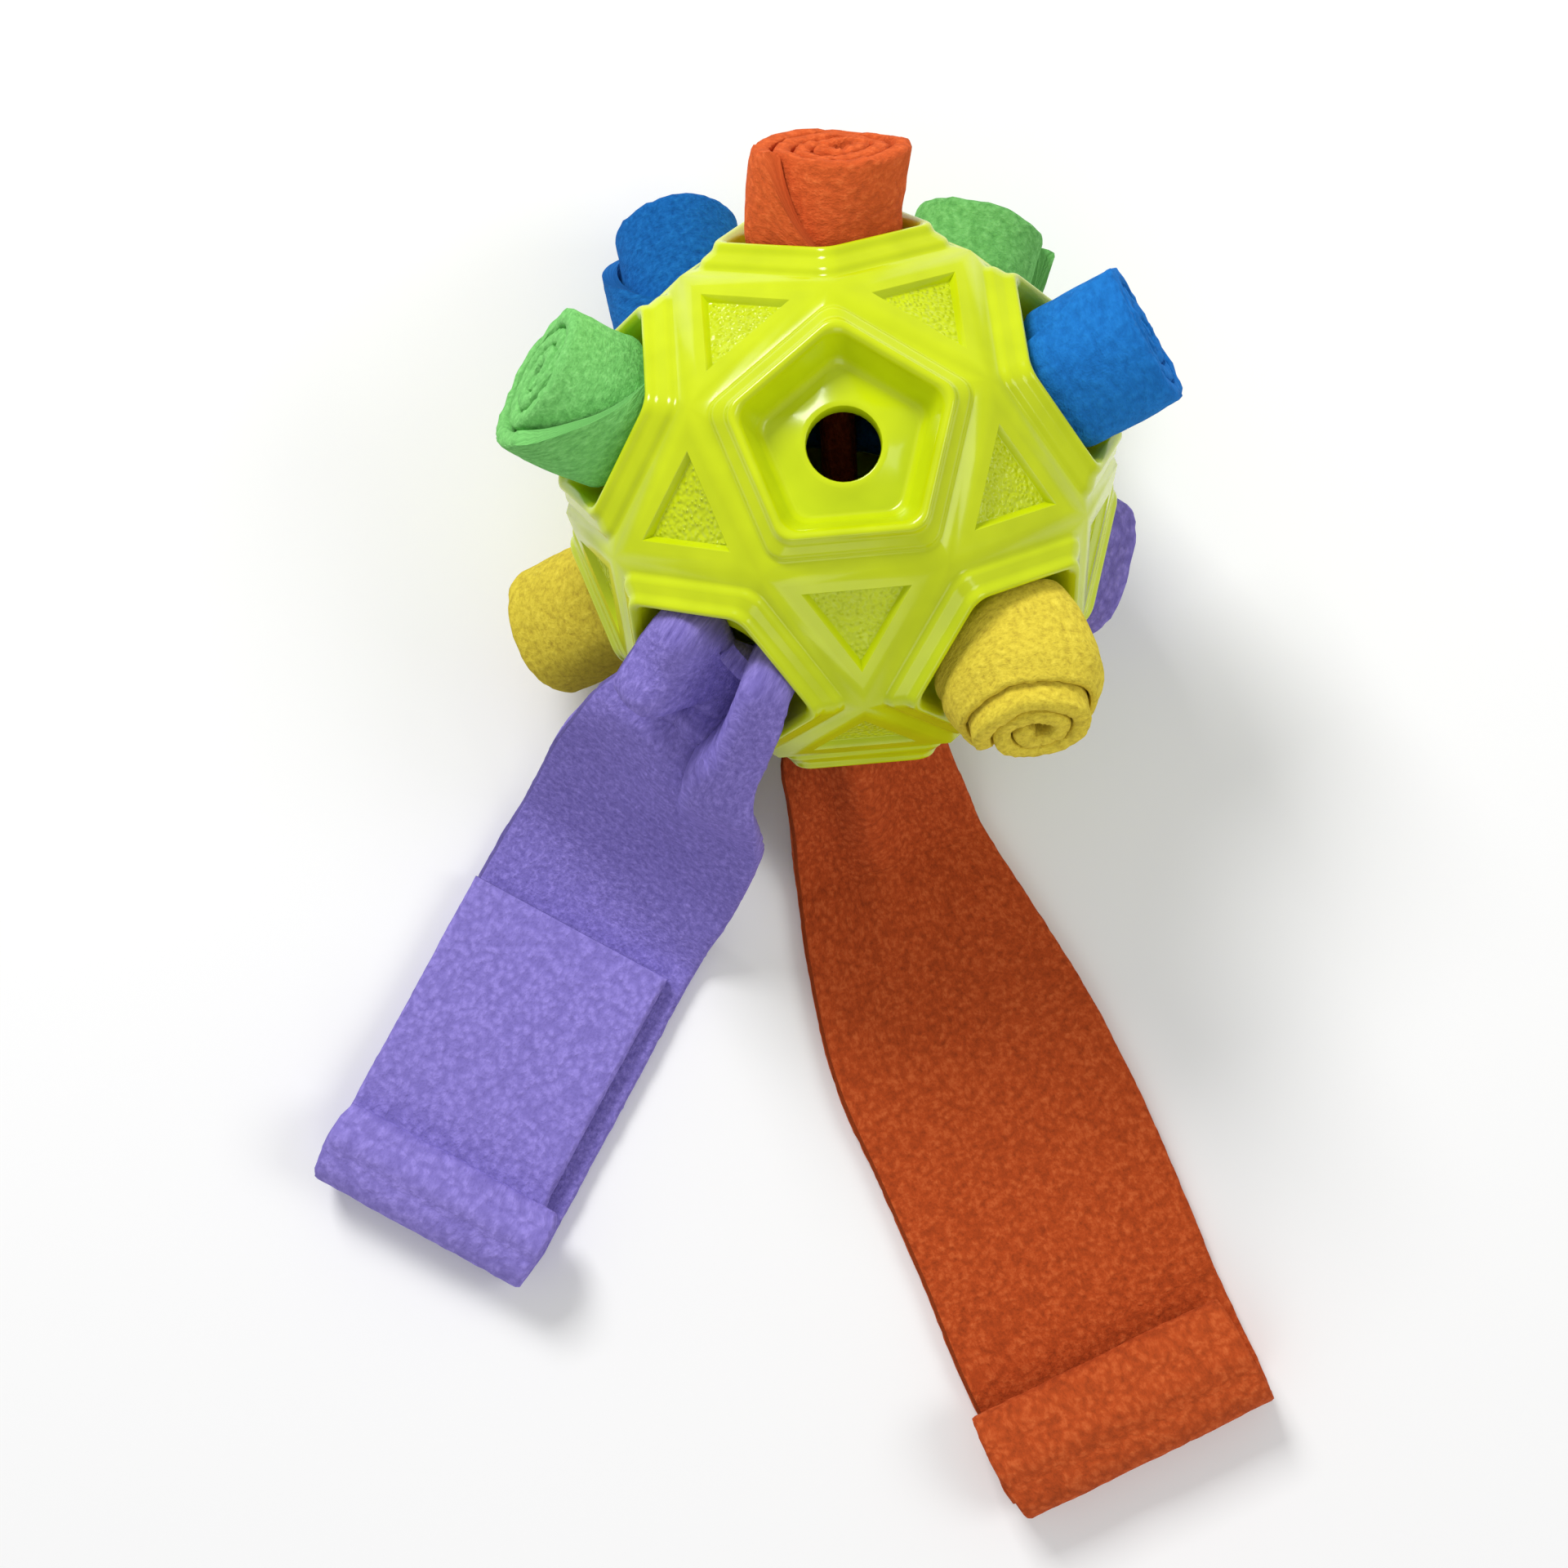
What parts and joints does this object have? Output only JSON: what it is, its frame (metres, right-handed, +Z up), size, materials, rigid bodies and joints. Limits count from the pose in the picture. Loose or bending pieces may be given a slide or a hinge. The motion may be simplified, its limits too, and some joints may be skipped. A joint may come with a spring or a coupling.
{
  "type": "hollow play ball",
  "caption": "Hollow rubber ball with pentagonal pockets round holes in their floors; fleece strips run through it, most ends rolled up in pockets, others hanging out.",
  "frame": {"origin": "centre of the bounding box's bottom face; the ball stands on the rim of its lowest pocket at z = 0", "axes": "+Z up through the empty top pocket, -Y towards the loose ends that hang out, +X to the right of them"},
  "size_m": [0.1778, 0.2534, 0.094],
  "materials": {
    "rubber": "glossy moulded rubber",
    "orange_fleece": "matt pebbled fleece",
    "purple_fleece": "matt pebbled fleece",
    "green_fleece": "matt pebbled fleece",
    "yellow_fleece": "matt pebbled fleece",
    "blue_fleece": "matt pebbled fleece"
  },
  "bodies": {
    "ball": {"upper_shell": "rubber", "lower_shell": "rubber", "orange_middle": "orange_fleece", "purple_middle": "purple_fleece", "green_middle": "green_fleece", "yellow_middle": "yellow_fleece", "blue_middle": "blue_fleece", "purple_gather": "purple_fleece", "orange_gather": "orange_fleece"},
    "orange_roll_body": {"orange_roll": "orange_fleece"},
    "green_roll_left_body": {"green_roll_left": "green_fleece"},
    "yellow_roll_right_body": {"yellow_roll_right": "yellow_fleece"},
    "blue_roll_right_body": {"blue_roll_right": "blue_fleece"},
    "blue_roll_left_body": {"blue_roll_left": "blue_fleece"},
    "yellow_roll_left_body": {"yellow_roll_left": "yellow_fleece"},
    "purple_roll_body": {"purple_roll": "purple_fleece"},
    "green_roll_right_body": {"green_roll_right": "green_fleece"},
    "purple_tail": {"purple_strip": "purple_fleece", "purple_fold": "purple_fleece"},
    "purple_tip": {"purple_end": "purple_fleece"},
    "orange_tail": {"orange_strip": "orange_fleece"},
    "orange_tip": {"orange_end": "orange_fleece"}
  },
  "joints": [
    {"name": "orange_roll_slide", "type": "slide", "parent": "ball", "child": "orange_roll_body", "axis": [0, 0.8944, 0.4472], "range_m": [0, 0.0065]},
    {"name": "green_roll_left_slide", "type": "slide", "parent": "ball", "child": "green_roll_left_body", "axis": [-0.8507, 0.2764, 0.4472], "range_m": [0, 0.0065]},
    {"name": "yellow_roll_right_slide", "type": "slide", "parent": "ball", "child": "yellow_roll_right_body", "axis": [0.5257, -0.7236, 0.4472], "range_m": [0, 0.0065]},
    {"name": "blue_roll_right_slide", "type": "slide", "parent": "ball", "child": "blue_roll_right_body", "axis": [0.8507, 0.2764, 0.4472], "range_m": [0, 0.0065]},
    {"name": "blue_roll_left_slide", "type": "slide", "parent": "ball", "child": "blue_roll_left_body", "axis": [-0.5257, 0.7236, -0.4472], "range_m": [0, 0.0065]},
    {"name": "yellow_roll_left_slide", "type": "slide", "parent": "ball", "child": "yellow_roll_left_body", "axis": [-0.8507, -0.2764, -0.4472], "range_m": [0, 0.0065]},
    {"name": "purple_roll_slide", "type": "slide", "parent": "ball", "child": "purple_roll_body", "axis": [0.8507, -0.2764, -0.4472], "range_m": [0, 0.0065]},
    {"name": "green_roll_right_slide", "type": "slide", "parent": "ball", "child": "green_roll_right_body", "axis": [0.5257, 0.7236, -0.4472], "range_m": [0, 0.0065]},
    {"name": "purple_tail_lift", "type": "hinge", "parent": "ball", "child": "purple_tail", "pos_m": [-0.01026, 0.01998, 0.05735], "axis": [-0.8368, 0.5476, 0], "range_deg": [0, 30]},
    {"name": "purple_end_lift", "type": "hinge", "parent": "purple_tail", "child": "purple_tip", "pos_m": [-0.0604, -0.0489, 0.00705], "axis": [-0.8368, 0.5476, 0], "range_deg": [0, 40]},
    {"name": "orange_tail_lift", "type": "hinge", "parent": "ball", "child": "orange_tail", "pos_m": [0.02195, 0.01851, 0.02757], "axis": [-1, 0, 0], "range_deg": [0, 30]},
    {"name": "orange_end_lift", "type": "hinge", "parent": "orange_tail", "child": "orange_tip", "pos_m": [0.05625, -0.09304, 0.00345], "axis": [-0.9336, -0.3584, 0], "range_deg": [0, 40]}
  ]
}
